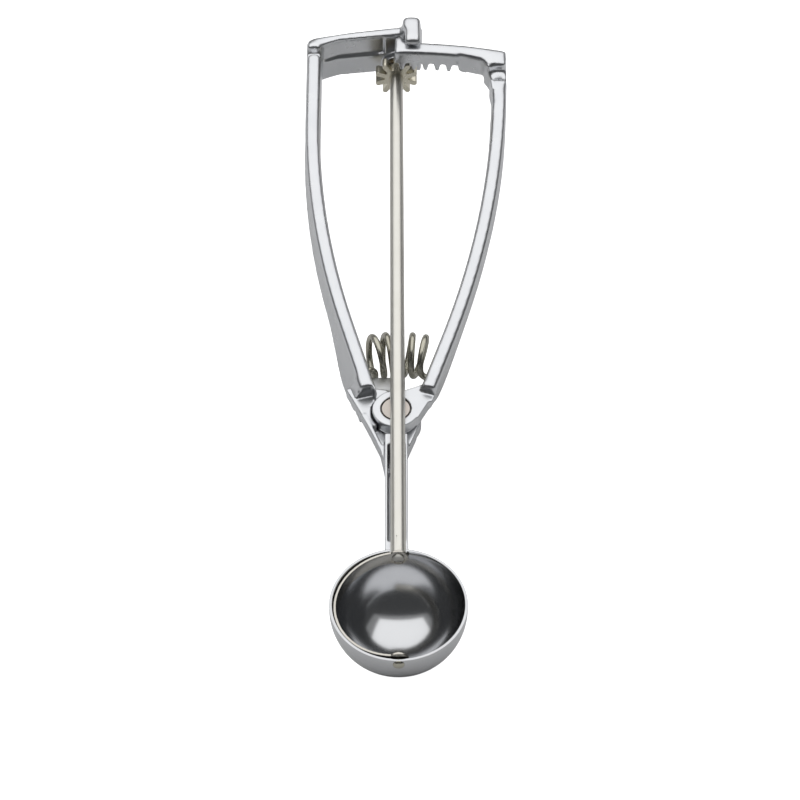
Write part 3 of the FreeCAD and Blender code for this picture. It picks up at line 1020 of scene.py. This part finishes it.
# The box over the table, and the wider and weaker glow round it that softens its edge
OVERHEAD_BOX = SoftBox("overhead_box", place=(-0.25, 0.6, 1.25), aim=(-0.25, 0.0, 0.0),
                       width=2.9, height=2.5, power=22.0)
BOX_HALO = SoftBox("box_halo", place=(-0.35, 0.66, 1.38), aim=(-0.35, 0.0, 0.0),
                   width=5.0, height=3.5, power=13.0)


@dataclass
class Studio:
    """The camera, the floor and the light of the photograph.

    Attributes:
        lens_mm: the focal length.
        sensor_mm: the width of the sensor.
        elevation: how far above the horizon the camera is, in degrees.
        distance_mm: how far it is from what it looks at.
        target_mm: what it looks at, from the crossing of the axes.
        roll: how far it is rolled, in degrees.
        nearest: the nearest distance that it sees, in metres.
        farthest: the farthest.
        floor_size: the side of the floor, in metres.
        floor_gap_mm: how far below the scoop's lowest point the floor lies.
        floor_colour: sRGB hex of the floor.
        floor_glow: how strong a white the floor shows the eye, without lighting the scoop.
        room_colour: sRGB hex of the room round the soft boxes.
        room_light: how bright this room is.
    """

    lens_mm: float = 115.2
    sensor_mm: float = 36.0
    elevation: float = 49.0
    distance_mm: float = 709.0
    target_mm: Point = (0.65, 0.8, 0.0)
    roll: float = 0.28
    nearest: float = 0.01
    farthest: float = 20.0
    floor_size: float = 6.0
    floor_gap_mm: float = 0.2
    floor_colour: str = "F0F0F0"
    floor_glow: float = 1.0
    room_colour: str = "C4C6C8"
    room_light: float = 0.12

    def camera(self) -> None:
        """Make the camera at the photograph's viewing angle."""
        data = bpy.data.cameras.new("camera")
        data.lens = self.lens_mm
        data.sensor_width = self.sensor_mm
        data.clip_start = self.nearest
        data.clip_end = self.farthest
        camera = bpy.data.objects.new("camera", data)
        bpy.context.scene.collection.objects.link(camera)
        tilt = math.radians(self.elevation)
        back = UP * math.sin(tilt) - ALONG * math.cos(tilt)
        camera.location = at(*self.target_mm) + back * self.distance_mm * MM
        look = (-back).to_track_quat("-Z", "Y").to_matrix().to_4x4()
        rolled = look @ Matrix.Rotation(math.radians(-self.roll), 4, "Z")
        camera.rotation_euler = rolled.to_euler()
        bpy.context.scene.camera = camera

    def floor(self) -> None:
        """Make the pale floor, which looks white to the eye and keeps a soft shadow."""
        bpy.ops.object.select_all(action="DESELECT")
        height = cad_low.z - self.floor_gap_mm * MM
        bpy.ops.mesh.primitive_plane_add(size=self.floor_size, location=(0.0, 0.0, height))
        plane = bpy.context.view_layer.objects.active
        plane.name = "floor"
        material = bpy.data.materials.new("pale_floor")
        material.use_nodes = True
        tree = material.node_tree
        tree.nodes.clear()
        paper = add_node(tree, "ShaderNodeBsdfDiffuse", {}, {"Color": linear(self.floor_colour)})
        path = add_node(tree, "ShaderNodeLightPath")
        share = add_node(tree, "ShaderNodeMath", {"operation": "MULTIPLY"}, {
            0: path.outputs["Is Camera Ray"], 1: self.floor_glow})
        glow = add_node(tree, "ShaderNodeEmission", {}, {"Strength": share.outputs[0]})
        both = add_node(tree, "ShaderNodeAddShader", {}, {
            0: paper.outputs["BSDF"], 1: glow.outputs["Emission"]})
        add_node(tree, "ShaderNodeOutputMaterial", {}, {"Surface": both.outputs[0]})
        plane.data.materials.append(material)

    def world(self) -> None:
        """Make the soft surround: white to the eye, and a dim room as a light."""
        world = bpy.data.worlds.new("studio")
        bpy.context.scene.world = world
        world.use_nodes = True
        tree = world.node_tree
        tree.nodes.clear()
        room = add_node(tree, "ShaderNodeBackground", {}, {
            "Color": linear(self.room_colour), "Strength": self.room_light})
        white = add_node(tree, "ShaderNodeBackground", {}, {"Color": linear("FFFFFF"), "Strength": 1.0})
        path = add_node(tree, "ShaderNodeLightPath")
        mix = add_node(tree, "ShaderNodeMixShader", {}, {
            "Fac": path.outputs["Is Camera Ray"],
            1: room.outputs["Background"], 2: white.outputs["Background"]})
        add_node(tree, "ShaderNodeOutputWorld", {}, {"Surface": mix.outputs[0]})

    def build(self) -> None:
        """Set up the whole studio."""
        bpy.context.scene.view_settings.view_transform = "Standard"
        self.camera()
        self.floor()
        self.world()
        OVERHEAD_BOX.hang()
        BOX_HALO.hang()


def main() -> None:
    """Build the scoop piece by piece."""
    logging.basicConfig(level=logging.INFO, format="%(message)s")
    Studio().build()
    for builder in (Castings(), PlainParts(), TailRivet(), Rod(), Bowl(), HandleSpring()):
        builder.build()
        log.info("built %s", type(builder).__name__)


if __name__ == "__main__":
    main()
